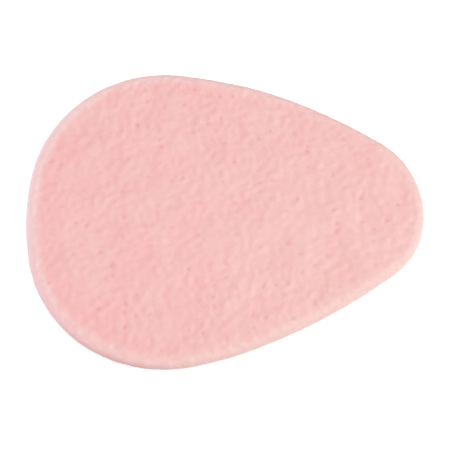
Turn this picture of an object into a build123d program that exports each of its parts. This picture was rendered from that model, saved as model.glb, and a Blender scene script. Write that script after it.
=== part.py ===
from build123d import *

import os
from math import acos, atan2, degrees, sqrt

# A felt furniture pad: one flat, drop-shaped piece cut from pressed felt, that goes between a foot and the floor.
# All sizes are in millimetres. The origin is the middle of the underside's bounding box, +X points to the
# narrow end and +Z up. The pad is the same on both sides of the XZ plane.

# Overall size
LENGTH = 90.0
WIDTH = 71.0
THICKNESS = 3.0

# Outline, a closed chain of arcs that run into each other without a corner
NARROW_END_RADIUS = 19.5
FLANK_RADIUS = 111.0
SHOULDER_RADIUS = 30.5
BLUNT_END_RADIUS = 60.0

# Edge: the cut draws the upper rim down in a wide soft roll and leaves the lower rim nearly square
UPPER_ROLL_RADIUS = 2.0
LOWER_ROLL_RADIUS = 0.4


def outline_centres():
    """The centres of the outline's arcs on the +Y side, from the narrow end round to the blunt end."""
    narrow = Vector(LENGTH / 2 - NARROW_END_RADIUS, 0)
    blunt = Vector(BLUNT_END_RADIUS - LENGTH / 2, 0)

    # The shoulder reaches half the width, and touches the blunt end's circle from inside.
    shoulder_y = WIDTH / 2 - SHOULDER_RADIUS
    shoulder_to_blunt = BLUNT_END_RADIUS - SHOULDER_RADIUS
    shoulder = Vector(blunt.X - sqrt(shoulder_to_blunt**2 - shoulder_y**2), shoulder_y)

    # The flank's large circle holds the narrow end's and the shoulder's circles and touches both from
    # outside. That gives its centre's distance from each of theirs, and the cosine rule gives its place.
    flank_to_narrow = FLANK_RADIUS - NARROW_END_RADIUS
    flank_to_shoulder = FLANK_RADIUS - SHOULDER_RADIUS
    span = narrow - shoulder
    cosine = (flank_to_shoulder**2 + span.length**2 - flank_to_narrow**2) / (2 * flank_to_shoulder * span.length)
    flank = shoulder + span.normalized().rotate(Axis.Z, -degrees(acos(cosine))) * flank_to_shoulder
    return narrow, flank, shoulder, blunt


def direction(start, end):
    """The angle of the way from one point to another, in degrees from +X."""
    way = end - start
    return degrees(atan2(way.Y, way.X))


def pad_outline():
    """The drop-shaped outline as a flat face. Touching circles meet on the line through their centres."""
    narrow, flank, shoulder, blunt = outline_centres()
    narrow_to_flank = direction(flank, narrow)
    flank_to_shoulder = direction(flank, shoulder)
    shoulder_to_blunt = direction(blunt, shoulder)
    with BuildSketch() as outline:
        with BuildLine():
            CenterArc(flank, FLANK_RADIUS, narrow_to_flank, flank_to_shoulder - narrow_to_flank)
            CenterArc(shoulder, SHOULDER_RADIUS, flank_to_shoulder, shoulder_to_blunt - flank_to_shoulder)
            mirror(about=Plane.XZ)
            CenterArc(narrow, NARROW_END_RADIUS, -narrow_to_flank, 2 * narrow_to_flank)
            CenterArc(blunt, BLUNT_END_RADIUS, shoulder_to_blunt, 2 * (180 - shoulder_to_blunt))
        make_face()
    return outline.sketch


def felt_pad():
    """The whole pad: the outline at full thickness, with its upper and lower rims rounded."""
    with BuildPart() as pad:
        add(pad_outline())
        extrude(amount=THICKNESS)
        fillet(pad.faces().sort_by(Axis.Z)[-1].edges(), UPPER_ROLL_RADIUS)
        fillet(pad.faces().sort_by(Axis.Z)[0].edges(), LOWER_ROLL_RADIUS)
    return pad.part


os.makedirs("parts", exist_ok=True)
export_step(felt_pad(), "parts/felt_pad.step")
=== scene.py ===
from math import acos, atan2, cos, exp, pi, radians, remainder, sin, sqrt, tau

import bpy
from mathutils import Matrix, Vector


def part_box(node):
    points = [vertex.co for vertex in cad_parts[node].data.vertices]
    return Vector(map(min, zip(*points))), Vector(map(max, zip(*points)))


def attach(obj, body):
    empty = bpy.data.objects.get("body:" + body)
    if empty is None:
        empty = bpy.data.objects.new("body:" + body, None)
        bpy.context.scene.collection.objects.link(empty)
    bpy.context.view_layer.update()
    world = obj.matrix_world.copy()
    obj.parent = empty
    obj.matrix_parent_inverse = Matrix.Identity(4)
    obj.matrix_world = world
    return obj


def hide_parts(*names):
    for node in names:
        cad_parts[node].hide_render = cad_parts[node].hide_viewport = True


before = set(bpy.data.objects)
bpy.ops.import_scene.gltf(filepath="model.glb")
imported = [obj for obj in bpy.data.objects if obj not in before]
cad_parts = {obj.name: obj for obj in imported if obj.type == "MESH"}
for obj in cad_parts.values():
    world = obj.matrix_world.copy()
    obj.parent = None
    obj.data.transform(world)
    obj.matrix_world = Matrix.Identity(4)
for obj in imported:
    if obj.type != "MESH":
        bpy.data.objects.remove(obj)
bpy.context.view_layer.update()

# A felt furniture pad, lying flat. All sizes are in metres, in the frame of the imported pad: the origin is
# the middle of the underside, +X points to the narrow end and +Z up.
MM = 0.001

# Form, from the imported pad's box and the radii it was cut with
PAD_LOW, PAD_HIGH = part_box("felt_pad")
LENGTH = PAD_HIGH.x - PAD_LOW.x
WIDTH = PAD_HIGH.y - PAD_LOW.y
THICKNESS = PAD_HIGH.z - PAD_LOW.z
NARROW_END_RADIUS = 19.5 * MM
FLANK_RADIUS = 111 * MM
SHOULDER_RADIUS = 30.5 * MM
BLUNT_END_RADIUS = 60 * MM
UPPER_ROLL_RADIUS = 2.0 * MM
LOWER_ROLL_RADIUS = 0.4 * MM

# The cut wanders from the drawn outline, as it does on the pad in the photo. Each place has its angle from
# +X and its spread, both in degrees, and how far out the cut goes there.
CUT_WANDER = [(-14, 9, 0.5 * MM), (-95, 14, 0.4 * MM), (67, 12, 0.22 * MM), (135, 30, -0.25 * MM)]

# Steps along the drawn arcs, and cells of the surface: each is 0.3 to 0.4 mm wide, a quarter of a lump
OUTLINE_STEP = radians(1)
ROLL_STEP = radians(5)
CELLS_ACROSS = 208
CELLS_DOWN_THE_RIM = 14

# Lumps and swells of the matted felt: how wide one is, and how high its crest is above its hollow
LUMP_WIDTH = 1.6 * MM
LUMP_HEIGHT = 0.265 * MM
SWELL_WIDTH = 7.0 * MM
SWELL_HEIGHT = 0.29 * MM
RELIEF_SEED = 4.0

# Their layers of noise: kind, share of its height, detail, angle that its grid is turned by, seed's step.
# Four layers of lumps at half height add up to about the full height, because their crests seldom meet.
RELIEF_LAYERS = [
    ("Lump", 0.5, 0.5, 0.3, 0.3),
    ("Lump", 0.5, 0.5, 0.7, 2.5),
    ("Lump", 0.5, 0.5, 1.1, 4.6),
    ("Lump", 0.5, 0.5, 1.5, 7.4),
    ("Swell", 1.0, 0.0, 0.8, 5.5),
]
# Most values of a noise between 0 and 1 lie between these two.
NOISE_LOW = 0.25
NOISE_HIGH = 0.75

# Pits: a higher rarity leaves fewer of them deep, the smallest has this share of the radius, and the bends
# make them less round
PIT_SPACING = 2.8 * MM
PIT_DEPTH = 0.18 * MM
PIT_RARITY = 2.5
PIT_RADIUS = 0.85 * MM
SMALLEST_PIT = 0.55
PIT_BENDS_PER_METRE = 900
PIT_BEND = 0.4 * MM

# The share of the relief that the cut rim keeps, how upright a normal is, from 0 to 1, where the rim starts
# to turn into a face, and how far the underside sinks in
RIM_RELIEF = 0.35
RIM_UPRIGHT = 0.6
UNDERSIDE_SINK = 0.2 * MM

# Colour layers: how high a full crest and how low a full hollow is for the painted shade in the hollows, the
# patches of dye, and the painted sheen near the cut edge, with the side of the pad where it is strongest
FULL_RELIEF = 0.25 * MM
PATCH_WIDTH = 7.0 * MM
PATCH_DETAIL = 1.0
PATCH_LOW = 0.3
PATCH_HIGH = 0.7
PATCH_SHOW = 0.3
NEAR_EDGE_WIDTH = 4.0 * MM
PAINTED_SHEEN_SIDE = (-1, 0.35, 0)
PAINTED_SHEEN_SIDE_POWER = 2.0

# Loose fibres on the surface. Real ones are about 0.03 mm thick, too thin to show from a step away, so each
# strand stands for a small bundle of them and is drawn several times as wide.
STRAND_LENGTH = 2.6 * MM
STRAND_SPACING = 0.8 * MM
STRAND_THINNESS = 5.0
STRAND_DETAIL = 1.0
STRAND_WAVER = 0.4
STRAND_HEIGHT = 0.03 * MM
STRAND_SHOW = 0.35
FACE_STRANDS = 0.2
STRAND_TURNS = [(0.2, 0.1, 0.4), (0.9, -0.5, 1.7), (-0.6, 0.7, 2.6)]

# Felt colours, as sRGB hex, and how its surface takes the light
FELT_CREST = "#EABAB5"
# Painted shade: the darker, redder pink that fills the hollows of the relief
HOLLOW_PAINTED_SHADE = "#E9B4AF"
# Painted shade: the darker pink in the pits
PIT_PAINTED_SHADE = "#E4A6A3"
FELT_PATCH = "#E4C5BB"
FELT_STRAND = "#F0CBC6"
# Painted sheen on the rim: its fullest colour, on the side that is lit most, and its faintest, at the narrow
# end
RIM_PAINTED_SHEEN_FULL = "#EBE0D9"
RIM_PAINTED_SHEEN_FAINT = "#E8BDB7"
FELT_SHEEN = "#FFF4F0"
FELT_ROUGHNESS = 0.95
FELT_SPECULAR = 0.2
SHEEN_WEIGHT = 0.02
SHEEN_ROUGHNESS = 0.5

# Camera: the height of the view, in degrees, and its distance from the pad follow from the photo's
# perspective. Azimuths are clockwise from the front of the pad, which is its -Y side.
CAMERA_AZIMUTH = -1.8
CAMERA_ELEVATION = 69.7
CAMERA_DISTANCE = 255 * MM
CAMERA_TARGET = Vector((0.03, -2.55, 0)) * MM
IMAGE_WIDTH_PX = 450
FOCAL_LENGTH_PX = 1123
SENSOR_WIDTH_MM = 36
NEAREST_SEEN = 10 * MM
FARTHEST_SEEN = 10

# Lamps: each one's azimuth and elevation in degrees, its distance and width in metres, its watts and its
# colour. The tints keep the lumps fainter in red than in green and blue, as they are in the photo.
LAMPS = [
    ("low key light at the right", 73, 15, 1.2, 0.5, 12.8, "#DBF8FF"),
    ("high fill at the right", 75, 60, 0.18, 0.15, 0.1, "#A8FFE1"),
    ("low warm fill in front", 20, 15, 1.2, 0.5, 0.9, "#FF7C6C"),
    ("fill at the left", -90, 50, 1.2, 0.5, 8.24, "#F8E7FC"),
    ("fill at the back left", -135, 50, 1.2, 0.5, 2.92, "#E9FBFC"),
]

# Surroundings: the room lights the pad, and the backdrop and the floor's lift are only seen. The gap keeps
# the floor and the pad's lowest lumps out of one plane.
ROOM_COLOUR = "#FFC1C0"
ROOM_STRENGTH = 0.36
BACKDROP_STRENGTH = 1.1
FLOOR_COLOUR = "#F0F0F0"
FLOOR_LIFT = 0.35
FLOOR_WIDTH = 0.6
FLOOR_GAP = 0.02 * MM
WHITE = "#FFFFFF"


def linear(hex_colour):
    """An sRGB hex colour as linear red, green, blue and full alpha."""
    levels = [int(hex_colour[i:i + 2], 16) / 255 for i in (1, 3, 5)]
    return [c / 12.92 if c <= 0.04045 else ((c + 0.055) / 1.055) ** 2.4 for c in levels] + [1]


def add_node(tree, kind, settings=None, inputs=None):
    """Adds a node. Inputs go by name, or by number where names repeat, and take a value, socket or node."""
    node = tree.nodes.new(kind)
    for name, value in (settings or {}).items():
        setattr(node, name, value)
    in_use = [socket for socket in node.inputs if socket.enabled]
    for key, value in (inputs or {}).items():
        socket = in_use[key] if isinstance(key, int) else next(s for s in in_use if s.name == key)
        if isinstance(value, bpy.types.Node):
            value = next(s for s in value.outputs if s.enabled)
        if isinstance(value, bpy.types.NodeSocket):
            tree.links.new(value, socket)
        else:
            socket.default_value = value
    return node


def blank_tree(owner):
    """The emptied node tree of a material or a world."""
    owner.use_nodes = True
    owner.node_tree.nodes.clear()
    return owner.node_tree


def direction(start, end):
    """The angle of the way from one point to another."""
    way = end - start
    return atan2(way.y, way.x)


def outline_arcs():
    """The outline's arcs as (centre, radius, first angle, last angle), from the narrow tip once round."""
    narrow = Vector((LENGTH / 2 - NARROW_END_RADIUS, 0))
    blunt = Vector((BLUNT_END_RADIUS - LENGTH / 2, 0))

    # The shoulder reaches half the width, and touches the blunt end's circle from inside.
    shoulder_y = WIDTH / 2 - SHOULDER_RADIUS
    shoulder_to_blunt = BLUNT_END_RADIUS - SHOULDER_RADIUS
    shoulder = Vector((blunt.x - sqrt(shoulder_to_blunt**2 - shoulder_y**2), shoulder_y))

    # The flank's large circle holds the narrow end's and the shoulder's circles and touches both from
    # outside. That gives its centre's distance from each of theirs, and the cosine rule gives its place.
    flank_to_narrow = FLANK_RADIUS - NARROW_END_RADIUS
    flank_to_shoulder = FLANK_RADIUS - SHOULDER_RADIUS
    span = narrow - shoulder
    squares = flank_to_shoulder**2 + span.length**2 - flank_to_narrow**2
    turn = -acos(squares / (2 * flank_to_shoulder * span.length))
    flank = shoulder + Matrix.Rotation(turn, 2) @ span.normalized() * flank_to_shoulder

    # Touching circles meet on the line through their centres.
    joins = [0, direction(flank, narrow), direction(flank, shoulder), direction(blunt, shoulder), pi]
    circles = [
        (narrow, NARROW_END_RADIUS),
        (flank, FLANK_RADIUS),
        (shoulder, SHOULDER_RADIUS),
        (blunt, BLUNT_END_RADIUS),
    ]
    left_half = [(centre, radius, joins[i], joins[i + 1]) for i, (centre, radius) in enumerate(circles)]
    right_half = [
        (Vector((centre.x, -centre.y)), radius, tau - last, tau - first)
        for centre, radius, first, last in reversed(left_half)
    ]
    return left_half + right_half


def arc_points(centre, radius, first, last, step):
    """Points along an arc, with its first end and without its last."""
    count = max(2, round(abs(last - first) / step))
    angles = [first + (last - first) * i / count for i in range(count)]
    return [centre + Vector((cos(a), sin(a))) * radius for a in angles]


def drawn_points():
    """Points along the outline as it is drawn."""
    return [point for arc in outline_arcs() for point in arc_points(*arc, OUTLINE_STEP)]


def flat_area():
    """The area inside the drawn outline, in square metres."""
    points = drawn_points()
    pairs = zip(points, points[1:] + points[:1])
    return sum(a.x * b.y - b.x * a.y for a, b in pairs) / 2


def cut_at(point):
    """Where the cut really runs at a point of the drawn outline."""
    angle = atan2(point.y, point.x)
    out = 0
    for place, spread, way_out in CUT_WANDER:
        off = remainder(angle - radians(place), tau) / radians(spread)
        out += way_out * exp(-off**2 / 2)
    return point * (1 + out / point.length)


def curve_through(name, points, closed):
    """A curve object of short straight steps through flat points."""
    curve = bpy.data.curves.new(name, "CURVE")
    curve.dimensions = "3D"
    spline = curve.splines.new("POLY")
    spline.points.add(len(points) - 1)
    for spline_point, point in zip(spline.points, points):
        spline_point.co = (point.x, point.y, 0, 1)
    spline.use_cyclic_u = closed
    shape = bpy.data.objects.new(name, curve)
    bpy.context.scene.collection.objects.link(shape)
    return shape


def pad_outline():
    """The pad's outline as it is cut."""
    return curve_through("pad_outline", [cut_at(point) for point in drawn_points()], closed=True)


def rim_section():
    """The rim's section from the flat top to the flat underside.

    X is the way out from the cut outline, and Y is the height.
    """
    upper = Vector((-UPPER_ROLL_RADIUS, THICKNESS - UPPER_ROLL_RADIUS))
    lower = Vector((-LOWER_ROLL_RADIUS, LOWER_ROLL_RADIUS))
    points = arc_points(upper, UPPER_ROLL_RADIUS, pi / 2, 0, ROLL_STEP)
    points.append(Vector((0, THICKNESS - UPPER_ROLL_RADIUS)))
    points += arc_points(lower, LOWER_ROLL_RADIUS, 0, -pi / 2, ROLL_STEP)
    points.append(Vector((-LOWER_ROLL_RADIUS, 0)))
    return curve_through("rim_section", points, closed=False)


def wrapped_block(tree, given):
    """A closed block of cells, wrapped on the outline and the rim section and marked near the cut edge."""
    # A block of square cells, from -1 to 1 each way
    across = add_node(tree, "ShaderNodeMath", {"operation": "ADD"}, {0: given["Cells Across"], 1: 1})
    down = add_node(tree, "ShaderNodeMath", {"operation": "ADD"}, {0: given["Cells Down The Rim"], 1: 1})
    block = add_node(tree, "GeometryNodeMeshCube", None,
                     {"Size": (2, 2, 2), "Vertices X": across, "Vertices Y": across, "Vertices Z": down})
    place = add_node(tree, "ShaderNodeSeparateXYZ", None, {0: add_node(tree, "GeometryNodeInputPosition")})

    # How far out a cell is, and its angle: the tangent spreads the square's sides evenly round a circle
    flat = add_node(tree, "ShaderNodeCombineXYZ", None, {"X": place.outputs["X"], "Y": place.outputs["Y"]})
    width_x = add_node(tree, "ShaderNodeMath", {"operation": "ABSOLUTE"}, {0: place.outputs["X"]})
    width_y = add_node(tree, "ShaderNodeMath", {"operation": "ABSOLUTE"}, {0: place.outputs["Y"]})
    share = add_node(tree, "ShaderNodeMath", {"operation": "MAXIMUM"}, {0: width_x, 1: width_y})
    inverse = add_node(tree, "ShaderNodeMath", {"operation": "DIVIDE"}, {0: pi / 4, 1: share})
    on_side = add_node(tree, "ShaderNodeVectorMath", {"operation": "SCALE"}, {0: flat, "Scale": inverse})
    spread = add_node(tree, "ShaderNodeSeparateXYZ", None,
                      {0: add_node(tree, "ShaderNodeVectorMath", {"operation": "TANGENT"}, {0: on_side})})
    angle = add_node(tree, "ShaderNodeMath", {"operation": "ARCTAN2"},
                     {0: spread.outputs["Y"], 1: spread.outputs["X"]})
    turns = add_node(tree, "ShaderNodeMath", {"operation": "DIVIDE"}, {0: angle, 1: tau})
    round_share = add_node(tree, "ShaderNodeMath", {"operation": "FRACT"}, {0: turns})

    # The outline's point and outward way there, and the rim section's point at this cell's height
    edge = add_node(tree, "GeometryNodeSampleCurve", {"mode": "FACTOR"},
                    {"Curves": given["Outline"], "Factor": round_share})
    outward = add_node(tree, "ShaderNodeVectorMath", {"operation": "CROSS_PRODUCT"},
                       {0: edge.outputs["Tangent"], 1: (0, 0, 1)})
    down_share = add_node(tree, "ShaderNodeMapRange", None,
                          {"Value": place.outputs["Z"], "From Min": 1, "From Max": -1,
                           "To Min": 0, "To Max": 1})
    section_curve = add_node(tree, "GeometryNodeObjectInfo", None, {"Object": given["Rim Section"]})
    section = add_node(tree, "GeometryNodeSampleCurve", {"mode": "FACTOR"},
                       {"Curves": section_curve.outputs["Geometry"], "Factor": down_share.outputs[0]})
    section_place = add_node(tree, "ShaderNodeSeparateXYZ", None, {0: section.outputs["Position"]})
    moved_out = add_node(tree, "ShaderNodeVectorMath", {"operation": "SCALE"},
                         {0: outward, "Scale": section_place.outputs["X"]})
    rim_place = add_node(tree, "ShaderNodeVectorMath", {"operation": "ADD"},
                         {0: edge.outputs["Position"], 1: moved_out})
    flat_place = add_node(tree, "ShaderNodeVectorMath", {"operation": "SCALE"},
                          {0: rim_place, "Scale": share})
    height = add_node(tree, "ShaderNodeCombineXYZ", None, {"Z": section_place.outputs["Y"]})
    wrapped_place = add_node(tree, "ShaderNodeVectorMath", {"operation": "ADD"}, {0: flat_place, 1: height})

    # How near the cut edge a point is: 1 on the wall, fading to 0 further in on the two faces
    inward = add_node(tree, "ShaderNodeMath", {"operation": "SUBTRACT"}, {0: 1, 1: share})
    reach = add_node(tree, "ShaderNodeVectorMath", {"operation": "DOT_PRODUCT"}, {0: rim_place, 1: outward})
    way_in = add_node(tree, "ShaderNodeMath", {"operation": "MULTIPLY"},
                      {0: inward, 1: reach.outputs["Value"]})
    from_edge = add_node(tree, "ShaderNodeMath", {"operation": "SUBTRACT"},
                         {0: way_in, 1: section_place.outputs["X"]})
    near_edge = add_node(tree, "ShaderNodeMapRange", {"interpolation_type": "SMOOTHSTEP"},
                         {"Value": from_edge, "From Min": 0, "From Max": given["Near Edge Width"],
                          "To Min": 1, "To Max": 0})
    marked = add_node(tree, "GeometryNodeStoreNamedAttribute", {"data_type": "FLOAT", "domain": "POINT"},
                      {"Geometry": block, "Name": "near edge", "Value": near_edge.outputs[0]})
    return add_node(tree, "GeometryNodeSetPosition", None, {"Geometry": marked, "Position": wrapped_place})


def lumps_and_swells(tree, given, at):
    """The height of the lumps and swells: layers of soft noise, turned so that no grid shows as streaks."""
    rise = 0.0
    for kind, share_of_height, detail, turn, seed_step in RELIEF_LAYERS:
        turned = add_node(tree, "ShaderNodeVectorRotate", {"rotation_type": "Z_AXIS"},
                          {"Vector": at, "Angle": turn})
        scale = add_node(tree, "ShaderNodeMath", {"operation": "DIVIDE"}, {0: 1, 1: given[kind + " Width"]})
        seed = add_node(tree, "ShaderNodeMath", {"operation": "ADD"}, {0: given["Seed"], 1: seed_step})
        noise = add_node(tree, "ShaderNodeTexNoise", {"noise_dimensions": "4D", "normalize": True},
                         {"Vector": turned, "W": seed, "Scale": scale, "Detail": detail})
        centred = add_node(tree, "ShaderNodeMapRange", {"clamp": False},
                           {"Value": noise, "From Min": NOISE_LOW, "From Max": NOISE_HIGH,
                            "To Min": -0.5, "To Max": 0.5})
        layer_height = add_node(tree, "ShaderNodeMath", {"operation": "MULTIPLY"},
                                {0: given[kind + " Height"], 1: share_of_height})
        rise = add_node(tree, "ShaderNodeMath", {"operation": "MULTIPLY_ADD"},
                        {0: centred.outputs[0], 1: layer_height, 2: rise})
    return rise


def scattered_pits(tree, given, at):
    """How far down in a pit a point is, from 0 to 1. Each cell of a scattering has one, and few are deep."""
    scale = add_node(tree, "ShaderNodeMath", {"operation": "DIVIDE"}, {0: 1, 1: given["Pit Spacing"]})
    bends = add_node(tree, "ShaderNodeTexNoise", {"noise_dimensions": "3D", "normalize": False},
                     {"Vector": at, "Scale": PIT_BENDS_PER_METRE, "Detail": 0.0})
    bend = add_node(tree, "ShaderNodeVectorMath", {"operation": "SCALE"},
                    {0: bends.outputs["Color"], "Scale": PIT_BEND})
    bent_at = add_node(tree, "ShaderNodeVectorMath", {"operation": "ADD"}, {0: at, 1: bend})
    cells = add_node(tree, "ShaderNodeTexVoronoi", {"voronoi_dimensions": "2D"},
                     {"Vector": bent_at, "Scale": scale})
    distance = add_node(tree, "ShaderNodeMath", {"operation": "DIVIDE"},
                        {0: cells.outputs["Distance"], 1: scale})
    draws = add_node(tree, "FunctionNodeSeparateColor", None, {"Color": cells.outputs["Color"]})
    how_deep = add_node(tree, "ShaderNodeMath", {"operation": "POWER"},
                        {0: draws.outputs[0], 1: given["Pit Rarity"]})
    size = add_node(tree, "ShaderNodeMapRange", None,
                    {"Value": draws.outputs[1], "From Min": 0, "From Max": 1,
                     "To Min": SMALLEST_PIT, "To Max": 1})
    radius = add_node(tree, "ShaderNodeMath", {"operation": "MULTIPLY"},
                      {0: size.outputs[0], 1: given["Pit Radius"]})
    fall = add_node(tree, "ShaderNodeMapRange", {"interpolation_type": "SMOOTHSTEP"},
                    {"Value": distance, "From Min": 0, "From Max": radius, "To Min": 1, "To Max": 0})
    return add_node(tree, "ShaderNodeMath", {"operation": "MULTIPLY"}, {0: fall.outputs[0], 1: how_deep})


def matted_surface(tree, given, wrapped):
    """The wrapped block with the relief of the felt, laid on the floor."""
    at = add_node(tree, "GeometryNodeInputPosition")
    pit = scattered_pits(tree, given, at)
    pit_drop = add_node(tree, "ShaderNodeMath", {"operation": "MULTIPLY"}, {0: pit, 1: given["Pit Depth"]})
    relief = add_node(tree, "ShaderNodeMath", {"operation": "SUBTRACT"},
                      {0: lumps_and_swells(tree, given, at), 1: pit_drop})

    # The cut rim is smoother than the faces, and the underside sinks in, so that only its highest lumps
    # touch the floor
    normal = add_node(tree, "GeometryNodeInputNormal")
    facing = add_node(tree, "ShaderNodeSeparateXYZ", None, {0: normal})
    upright = add_node(tree, "ShaderNodeMath", {"operation": "ABSOLUTE"}, {0: facing.outputs["Z"]})
    on_face = add_node(tree, "ShaderNodeMapRange", {"interpolation_type": "SMOOTHSTEP"},
                       {"Value": upright, "From Min": RIM_UPRIGHT, "From Max": 1, "To Min": 0, "To Max": 1})
    amount = add_node(tree, "ShaderNodeMapRange", None,
                      {"Value": on_face.outputs[0], "From Min": 0, "From Max": 1,
                       "To Min": given["Rim Relief"], "To Max": 1})
    scaled = add_node(tree, "ShaderNodeMath", {"operation": "MULTIPLY"}, {0: relief, 1: amount.outputs[0]})
    sink = add_node(tree, "ShaderNodeMapRange", None,
                    {"Value": facing.outputs["Z"], "From Min": 0, "From Max": -1,
                     "To Min": 0, "To Max": given["Underside Sink"]})
    sunk = add_node(tree, "ShaderNodeMath", {"operation": "SUBTRACT"}, {0: scaled, 1: sink.outputs[0]})
    offset = add_node(tree, "ShaderNodeVectorMath", {"operation": "SCALE"}, {0: normal, "Scale": sunk})

    # The material reads the relief and the pits from the surface
    marked = wrapped
    for name, field in (("relief", relief), ("pit", pit)):
        marked = add_node(tree, "GeometryNodeStoreNamedAttribute", {"data_type": "FLOAT", "domain": "POINT"},
                          {"Geometry": marked, "Name": name, "Value": field})
    matted = add_node(tree, "GeometryNodeSetPosition", None, {"Geometry": marked, "Offset": offset})

    # Nothing reaches below the floor
    place = add_node(tree, "ShaderNodeSeparateXYZ", None, {0: at})
    lowest = add_node(tree, "ShaderNodeMath", {"operation": "MAXIMUM"}, {0: place.outputs["Z"], 1: 0})
    on_floor = add_node(tree, "ShaderNodeCombineXYZ", None,
                        {"X": place.outputs["X"], "Y": place.outputs["Y"], "Z": lowest})
    return add_node(tree, "GeometryNodeSetPosition", None, {"Geometry": matted, "Position": on_floor})


def felting_tree(inputs):
    """Geometry Nodes that wrap a block of cells on an outline and mat its surface as felt."""
    tree = bpy.data.node_groups.new("felt pad from an outline", "GeometryNodeTree")
    tree.interface.new_socket("Outline", in_out="INPUT", socket_type="NodeSocketGeometry")
    for name, (kind, _) in inputs.items():
        tree.interface.new_socket(name, in_out="INPUT", socket_type="NodeSocket" + kind)
    tree.interface.new_socket("Pad", in_out="OUTPUT", socket_type="NodeSocketGeometry")
    given = add_node(tree, "NodeGroupInput").outputs
    laid = matted_surface(tree, given, wrapped_block(tree, given))
    smooth = add_node(tree, "GeometryNodeSetShadeSmooth", None, {"Geometry": laid})
    real = add_node(tree, "GeometryNodeRealizeInstances", None, {"Geometry": smooth})
    dressed = add_node(tree, "GeometryNodeSetMaterial", None, {"Geometry": real, "Material": given["Felt"]})
    add_node(tree, "NodeGroupOutput", None, {"Pad": dressed})
    return tree


def felt_pad(felt):
    """The whole pad as one closed mesh."""
    outline, section = pad_outline(), rim_section()
    inputs = {
        "Rim Section": ("Object", section),
        "Cells Across": ("Int", CELLS_ACROSS),
        "Cells Down The Rim": ("Int", CELLS_DOWN_THE_RIM),
        "Lump Width": ("Float", LUMP_WIDTH),
        "Lump Height": ("Float", LUMP_HEIGHT),
        "Swell Width": ("Float", SWELL_WIDTH),
        "Swell Height": ("Float", SWELL_HEIGHT),
        "Pit Spacing": ("Float", PIT_SPACING),
        "Pit Rarity": ("Float", PIT_RARITY),
        "Pit Radius": ("Float", PIT_RADIUS),
        "Pit Depth": ("Float", PIT_DEPTH),
        "Rim Relief": ("Float", RIM_RELIEF),
        "Underside Sink": ("Float", UNDERSIDE_SINK),
        "Near Edge Width": ("Float", NEAR_EDGE_WIDTH),
        "Seed": ("Float", RELIEF_SEED),
        "Felt": ("Material", felt),
    }
    tree = felting_tree(inputs)
    felting = outline.modifiers.new("felting", "NODES")
    felting.node_group = tree
    for name, (_, value) in inputs.items():
        felting[tree.interface.items_tree[name].identifier] = value
    evaluated = outline.evaluated_get(bpy.context.evaluated_depsgraph_get())
    mesh = bpy.data.meshes.new_from_object(evaluated)
    mesh.name = "pressed_felt"
    pad = bpy.data.objects.new("pressed_felt", mesh)
    bpy.context.scene.collection.objects.link(pad)
    for drawn in (outline, section):
        bpy.data.objects.remove(drawn)
    return pad


def felt_pink(tree, at, near_edge):
    """The felt's colour without its strands, with painted shade in its hollows and pits and painted sheen
    near the edge. Each layer covers the ones before it by its own amount.
    """
    relief = add_node(tree, "ShaderNodeAttribute", {"attribute_name": "relief"})
    # Painted shade: the lower the relief, the more of the hollows' darker pink
    hollow_shade = add_node(tree, "ShaderNodeMapRange", None,
                      {"Value": relief.outputs["Fac"], "From Min": FULL_RELIEF, "From Max": -FULL_RELIEF,
                       "To Min": 0, "To Max": 1})
    pit = add_node(tree, "ShaderNodeAttribute", {"attribute_name": "pit"})

    # Wide, very faint patches where the dye took less
    patches = add_node(tree, "ShaderNodeTexNoise", {"noise_dimensions": "3D", "normalize": True},
                       {"Vector": at, "Scale": 1 / PATCH_WIDTH, "Detail": PATCH_DETAIL})
    patch = add_node(tree, "ShaderNodeMapRange", None,
                     {"Value": patches, "From Min": PATCH_LOW, "From Max": PATCH_HIGH,
                      "To Min": 0, "To Max": PATCH_SHOW})

    # Painted sheen: the rim is lightened most round the blunt end, as if lit from that side
    way = add_node(tree, "ShaderNodeVectorMath", {"operation": "DOT_PRODUCT"}, {0: at, 1: PAINTED_SHEEN_SIDE})
    along = add_node(tree, "ShaderNodeMapRange", None,
                     {"Value": way.outputs["Value"], "From Min": -LENGTH / 2, "From Max": LENGTH / 2,
                      "To Min": 0, "To Max": 1})
    painted_sheen_share = add_node(tree, "ShaderNodeMath", {"operation": "POWER"},
                    {0: along.outputs[0], 1: PAINTED_SHEEN_SIDE_POWER})
    rim = add_node(tree, "ShaderNodeMix", {"data_type": "RGBA"},
                   {"Factor": painted_sheen_share, "A": linear(RIM_PAINTED_SHEEN_FAINT), "B": linear(RIM_PAINTED_SHEEN_FULL)})

    pink = linear(FELT_CREST)
    layers = [
        # painted shade in the hollows
        (hollow_shade.outputs[0], linear(HOLLOW_PAINTED_SHADE)),
        (patch.outputs[0], linear(FELT_PATCH)),
        # painted shade in the pits
        (pit.outputs["Fac"], linear(PIT_PAINTED_SHADE)),
        # painted sheen near the cut edge
        (near_edge, rim),
    ]
    for amount, colour in layers:
        pink = add_node(tree, "ShaderNodeMix", {"data_type": "RGBA"},
                        {"Factor": amount, "A": pink, "B": colour})
    return pink


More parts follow.
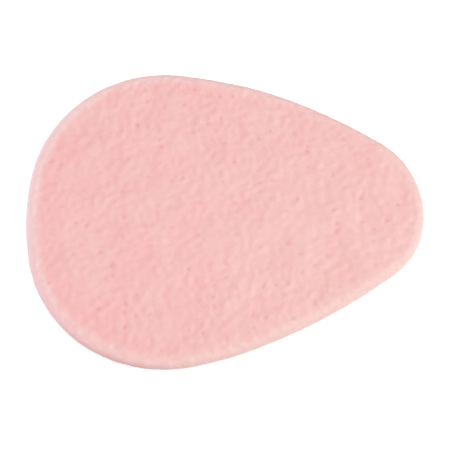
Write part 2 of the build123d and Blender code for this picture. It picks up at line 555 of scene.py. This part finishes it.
def felt_strands(tree, at, near_edge):
    """How much of a strand is at a point, from 0 to 1. Most of them are near the edge.

    They are the middle lines of stretched noise, laid in several directions.
    """
    strands = 0.0
    for turn in STRAND_TURNS:
        turned = add_node(tree, "ShaderNodeVectorRotate", {"rotation_type": "EULER_XYZ"},
                          {"Vector": at, "Rotation": turn})
        stretched = add_node(tree, "ShaderNodeVectorMath", {"operation": "MULTIPLY"},
                             {0: turned, 1: (1 / STRAND_LENGTH, 1 / STRAND_SPACING, 1 / STRAND_SPACING)})
        noise = add_node(tree, "ShaderNodeTexNoise", {"noise_dimensions": "3D", "normalize": False},
                         {"Vector": stretched, "Scale": 1, "Detail": STRAND_DETAIL,
                          "Distortion": STRAND_WAVER})
        off_line = add_node(tree, "ShaderNodeMath", {"operation": "ABSOLUTE"}, {0: noise})
        line = add_node(tree, "ShaderNodeMapRange", {"interpolation_type": "SMOOTHSTEP"},
                        {"Value": off_line, "From Min": 0, "From Max": 1 / STRAND_THINNESS,
                         "To Min": 1, "To Max": 0})
        strands = add_node(tree, "ShaderNodeMath", {"operation": "MAXIMUM"},
                           {0: strands, 1: line.outputs[0]})
    amount = add_node(tree, "ShaderNodeMapRange", None,
                      {"Value": near_edge, "From Min": 0, "From Max": 1,
                       "To Min": FACE_STRANDS, "To Max": 1})
    return add_node(tree, "ShaderNodeMath", {"operation": "MULTIPLY"}, {0: strands, 1: amount.outputs[0]})


def pressed_felt():
    """Pressed wool felt, die-cut: matt pink of low contrast, with painted shade in its soft hollows and pits
    and painted sheen on its fibrous rim.
    """
    material = bpy.data.materials.new("pressed wool felt")
    tree = blank_tree(material)
    at = add_node(tree, "ShaderNodeTexCoord").outputs["Object"]
    near_edge = add_node(tree, "ShaderNodeAttribute", {"attribute_name": "near edge"}).outputs["Fac"]
    strands = felt_strands(tree, at, near_edge)
    strand_show = add_node(tree, "ShaderNodeMath", {"operation": "MULTIPLY"}, {0: strands, 1: STRAND_SHOW})
    colour = add_node(tree, "ShaderNodeMix", {"data_type": "RGBA"},
                      {"Factor": strand_show, "A": felt_pink(tree, at, near_edge), "B": linear(FELT_STRAND)})
    raised = add_node(tree, "ShaderNodeBump", None,
                      {"Strength": 1.0, "Distance": STRAND_HEIGHT, "Height": strands})
    felt = add_node(tree, "ShaderNodeBsdfPrincipled", None,
                    {"Base Color": colour, "Roughness": FELT_ROUGHNESS, "Specular IOR Level": FELT_SPECULAR,
                     "Normal": raised, "Sheen Weight": SHEEN_WEIGHT, "Sheen Roughness": SHEEN_ROUGHNESS,
                     "Sheen Tint": linear(FELT_SHEEN)})
    add_node(tree, "ShaderNodeOutputMaterial", None, {"Surface": felt.outputs["BSDF"]})
    return material


def floor_white():
    """Matt white paint, lifted so that the camera sees it as pure white outside the pad's shadow."""
    material = bpy.data.materials.new("white studio floor")
    tree = blank_tree(material)
    matt = add_node(tree, "ShaderNodeBsdfDiffuse", None, {"Color": linear(FLOOR_COLOUR)})

    # The lift is only seen, and throws no light on the pad
    path = add_node(tree, "ShaderNodeLightPath")
    seen = path.outputs["Is Camera Ray"]
    for ray in ("Is Glossy Ray", "Is Transmission Ray"):
        seen = add_node(tree, "ShaderNodeMath", {"operation": "MAXIMUM"}, {0: seen, 1: path.outputs[ray]})
    lift = add_node(tree, "ShaderNodeMath", {"operation": "MULTIPLY"}, {0: seen, 1: FLOOR_LIFT})
    glow = add_node(tree, "ShaderNodeEmission", None, {"Color": linear(WHITE), "Strength": lift})
    both = add_node(tree, "ShaderNodeAddShader", None, {0: matt, 1: glow})
    add_node(tree, "ShaderNodeOutputMaterial", None, {"Surface": both})
    return material


def white_floor(white):
    """A wide floor under the pad, that takes its shadow."""
    half = FLOOR_WIDTH / 2
    corners = [(x * half, y * half, -FLOOR_GAP) for x, y in ((-1, -1), (1, -1), (1, 1), (-1, 1))]
    mesh = bpy.data.meshes.new("floor")
    mesh.from_pydata(corners, [], [(0, 1, 2, 3)])
    mesh.materials.append(white)
    floor = bpy.data.objects.new("floor", mesh)
    bpy.context.scene.collection.objects.link(floor)


def place_facing(name, data, target, azimuth, elevation, distance):
    """A lamp or camera that faces a target from an azimuth and an elevation, both in degrees."""
    turn, rise = radians(azimuth), radians(elevation)
    away = Vector((sin(turn) * cos(rise), -cos(turn) * cos(rise), sin(rise)))
    holder = bpy.data.objects.new(name, data)
    holder.location = target + away * distance
    holder.rotation_euler = away.to_track_quat("Z", "Y").to_euler()
    bpy.context.scene.collection.objects.link(holder)
    return holder


def soft_lamp(name, azimuth, elevation, distance, width, power, colour):
    """A square soft lamp that looks at the middle of the pad."""
    lamp = bpy.data.lights.new(name, "AREA")
    lamp.size = width
    lamp.energy = power
    lamp.color = linear(colour)[:3]
    place_facing(name, lamp, Vector((0, 0, 0)), azimuth, elevation, distance)


def studio():
    """Plain soft light: a low key light from the right, fills on every side, and a dim, slightly pink room.

    To the camera the room is a white backdrop.
    """
    for lamp in LAMPS:
        soft_lamp(*lamp)
    world = bpy.data.worlds.new("room")
    tree = blank_tree(world)
    path = add_node(tree, "ShaderNodeLightPath")
    room = add_node(tree, "ShaderNodeBackground", None,
                    {"Color": linear(ROOM_COLOUR), "Strength": ROOM_STRENGTH})
    backdrop = add_node(tree, "ShaderNodeBackground", None,
                        {"Color": linear(WHITE), "Strength": BACKDROP_STRENGTH})
    mixed = add_node(tree, "ShaderNodeMixShader", None,
                     {"Fac": path.outputs["Is Camera Ray"], 1: room, 2: backdrop})
    add_node(tree, "ShaderNodeOutputWorld", None, {"Surface": mixed})
    bpy.context.scene.world = world
    bpy.context.scene.view_settings.view_transform = "Standard"


def camera():
    """The camera at the photo's viewing angle."""
    lens = bpy.data.cameras.new("camera")
    lens.sensor_width = SENSOR_WIDTH_MM
    lens.lens = FOCAL_LENGTH_PX / IMAGE_WIDTH_PX * SENSOR_WIDTH_MM
    lens.clip_start = NEAREST_SEEN
    lens.clip_end = FARTHEST_SEEN
    bpy.context.scene.camera = place_facing("camera", lens, CAMERA_TARGET, CAMERA_AZIMUTH, CAMERA_ELEVATION,
                                            CAMERA_DISTANCE)


pad = felt_pad(pressed_felt())
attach(pad, "root")
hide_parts("felt_pad")
flat_area()
white_floor(floor_white())
studio()
camera()
